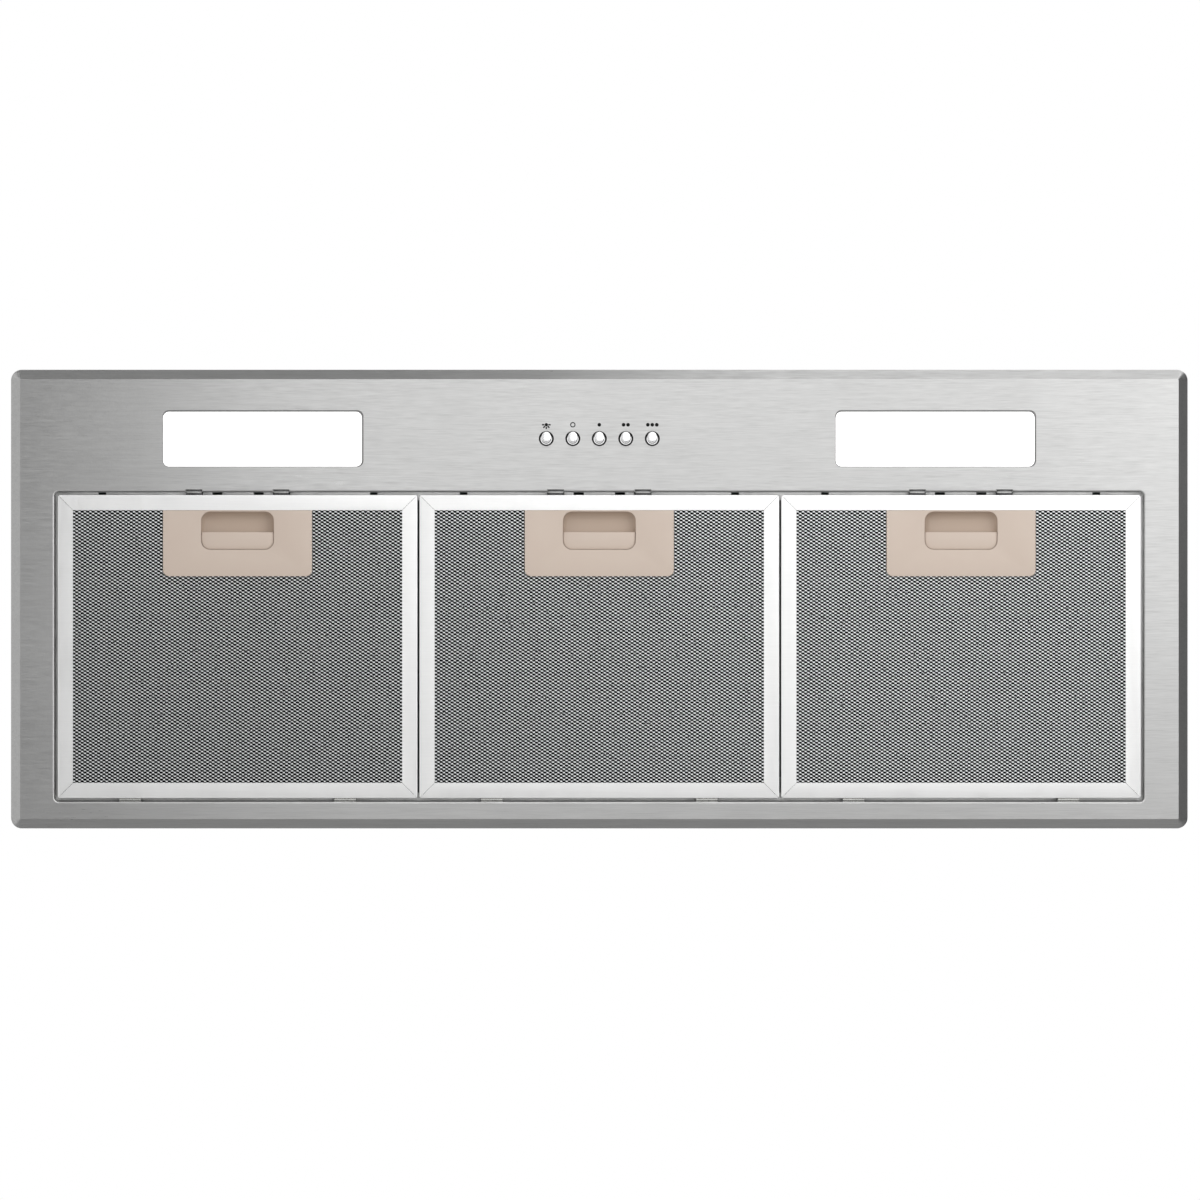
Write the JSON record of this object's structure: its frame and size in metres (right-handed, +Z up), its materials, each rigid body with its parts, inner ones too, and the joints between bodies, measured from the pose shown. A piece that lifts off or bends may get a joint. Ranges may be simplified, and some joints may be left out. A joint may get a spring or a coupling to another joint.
{
  "type": "range hood insert",
  "caption": "Built-in range hood insert: bevelled stainless fascia with lamp windows, push buttons and hinged mesh grease filters under a housing with a twin-inlet blower and duct spigot",
  "frame": {"origin": "middle of the mounting plane: the top of the hemmed fascia rim, which bears on the cabinet's underside", "axes": "+X along the fascia's length, -Y towards the control side, +Z up into the cabinet"},
  "size_m": [0.767, 0.299, 0.2666],
  "materials": {
    "stainless": "horizontally brushed stainless sheet",
    "galvanised": "galvanised sheet",
    "filter_aluminium": "bright satin aluminium",
    "filter_mesh": "expanded aluminium mesh",
    "beige_plastic": "satin moulded beige plastic",
    "spring_steel": "spring steel strip",
    "zinc": "zinc-plated fasteners",
    "chromed": "chromed caps",
    "opal": "opal diffuser",
    "white_plastic": "moulded white plastic",
    "black_plastic": "moulded black plastic",
    "grey_plastic": "moulded grey plastic",
    "motor_enamel": "dark enamelled motor can",
    "bright_steel": "ground steel",
    "rubber_black": "rubber",
    "board_white": "white-masked circuit board"
  },
  "bodies": {
    "hood": {"fascia_panel": "stainless", "housing_tray": "galvanised", "blower_box": "galvanised", "outlet_spigot": "black_plastic", "spigot_screws": "zinc", "box_screws": "zinc", "scroll_wrap": "galvanised", "scroll_side_left": "galvanised", "scroll_side_right": "galvanised", "motor_body": "motor_enamel", "motor_bracket": "galvanised", "motor_grommets": "rubber_black", "capacitor": "white_plastic", "terminal_box": "grey_plastic", "terminal_box_cover": "grey_plastic", "cover_screws": "zinc", "cable_gland": "black_plastic", "led_driver": "white_plastic", "switch_block": "black_plastic", "lamp_housing_left": "galvanised", "lamp_housing_right": "galvanised", "lamp_lens_left": "opal", "lamp_lens_right": "opal", "lamp_board_left": "board_white", "lamp_board_right": "board_white", "mounting_nuts": "zinc", "side_clips_left": "spring_steel", "side_clips_right": "spring_steel", "clip_screws": "zinc"},
    "filter_left": {"filter_frame_left": "filter_aluminium", "filter_mesh_left": "filter_mesh", "filter_handle_left": "beige_plastic", "rear_tabs_left": "spring_steel", "latch_spring_left": "spring_steel"},
    "latch_left": {"latch_slider_left": "beige_plastic"},
    "filter_centre": {"filter_frame_centre": "filter_aluminium", "filter_mesh_centre": "filter_mesh", "filter_handle_centre": "beige_plastic", "rear_tabs_centre": "spring_steel", "latch_spring_centre": "spring_steel"},
    "latch_centre": {"latch_slider_centre": "beige_plastic"},
    "filter_right": {"filter_frame_right": "filter_aluminium", "filter_mesh_right": "filter_mesh", "filter_handle_right": "beige_plastic", "rear_tabs_right": "spring_steel", "latch_spring_right": "spring_steel"},
    "latch_right": {"latch_slider_right": "beige_plastic"},
    "button_light": {"button_light": "chromed"},
    "button_off": {"button_off": "chromed"},
    "button_low": {"button_low": "chromed"},
    "button_mid": {"button_mid": "chromed"},
    "button_high": {"button_high": "chromed"},
    "fan": {"fan_wheel": "black_plastic", "motor_shaft": "bright_steel"},
    "flap_front": {"flap_front": "grey_plastic"},
    "flap_rear": {"flap_rear": "grey_plastic"}
  },
  "joints": [
    {"name": "filter_left_swing", "type": "hinge", "parent": "hood", "child": "filter_left", "pos_m": [-0.2356, 0.1306, -0.0056], "axis": [1, 0, 0], "range_deg": [0, 70]},
    {"name": "latch_left_slide", "type": "slide", "parent": "filter_left", "child": "latch_left", "axis": [0, 1, 0], "range_m": [0, 0.005], "stiffness_N_per_m": 400, "springref_m": -0.003, "deforming": ["latch_spring_left"]},
    {"name": "filter_centre_swing", "type": "hinge", "parent": "hood", "child": "filter_centre", "pos_m": [0, 0.1306, -0.0056], "axis": [1, 0, 0], "range_deg": [0, 70]},
    {"name": "latch_centre_slide", "type": "slide", "parent": "filter_centre", "child": "latch_centre", "axis": [0, 1, 0], "range_m": [0, 0.005], "stiffness_N_per_m": 400, "springref_m": -0.003, "deforming": ["latch_spring_centre"]},
    {"name": "filter_right_swing", "type": "hinge", "parent": "hood", "child": "filter_right", "pos_m": [0.2356, 0.1306, -0.0056], "axis": [1, 0, 0], "range_deg": [0, 70]},
    {"name": "latch_right_slide", "type": "slide", "parent": "filter_right", "child": "latch_right", "axis": [0, 1, 0], "range_m": [0, 0.005], "stiffness_N_per_m": 400, "springref_m": -0.003, "deforming": ["latch_spring_right"]},
    {"name": "button_light_press", "type": "slide", "parent": "hood", "child": "button_light", "axis": [0, 0, 1], "range_m": [0, 0.0035], "stiffness_N_per_m": 600, "springref_m": -0.002},
    {"name": "button_off_press", "type": "slide", "parent": "hood", "child": "button_off", "axis": [0, 0, 1], "range_m": [0, 0.0035], "stiffness_N_per_m": 600, "springref_m": -0.002},
    {"name": "button_low_press", "type": "slide", "parent": "hood", "child": "button_low", "axis": [0, 0, 1], "range_m": [0, 0.0035], "stiffness_N_per_m": 600, "springref_m": -0.002},
    {"name": "button_mid_press", "type": "slide", "parent": "hood", "child": "button_mid", "axis": [0, 0, 1], "range_m": [0, 0.0035], "stiffness_N_per_m": 600, "springref_m": -0.002},
    {"name": "button_high_press", "type": "slide", "parent": "hood", "child": "button_high", "axis": [0, 0, 1], "range_m": [0, 0.0035], "stiffness_N_per_m": 600, "springref_m": -0.002},
    {"name": "fan_spin", "type": "hinge", "parent": "hood", "child": "fan", "pos_m": [0, 0.018, 0.123], "axis": [1, 0, 0], "continuous": true},
    {"name": "flap_front_swing", "type": "hinge", "parent": "hood", "child": "flap_front", "pos_m": [0, -0.058, 0.234], "axis": [-1, 0, 0], "range_deg": [0, 78]},
    {"name": "flap_rear_swing", "type": "hinge", "parent": "hood", "child": "flap_rear", "pos_m": [0, -0.052, 0.234], "axis": [1, 0, 0], "range_deg": [0, 78]}
  ]
}
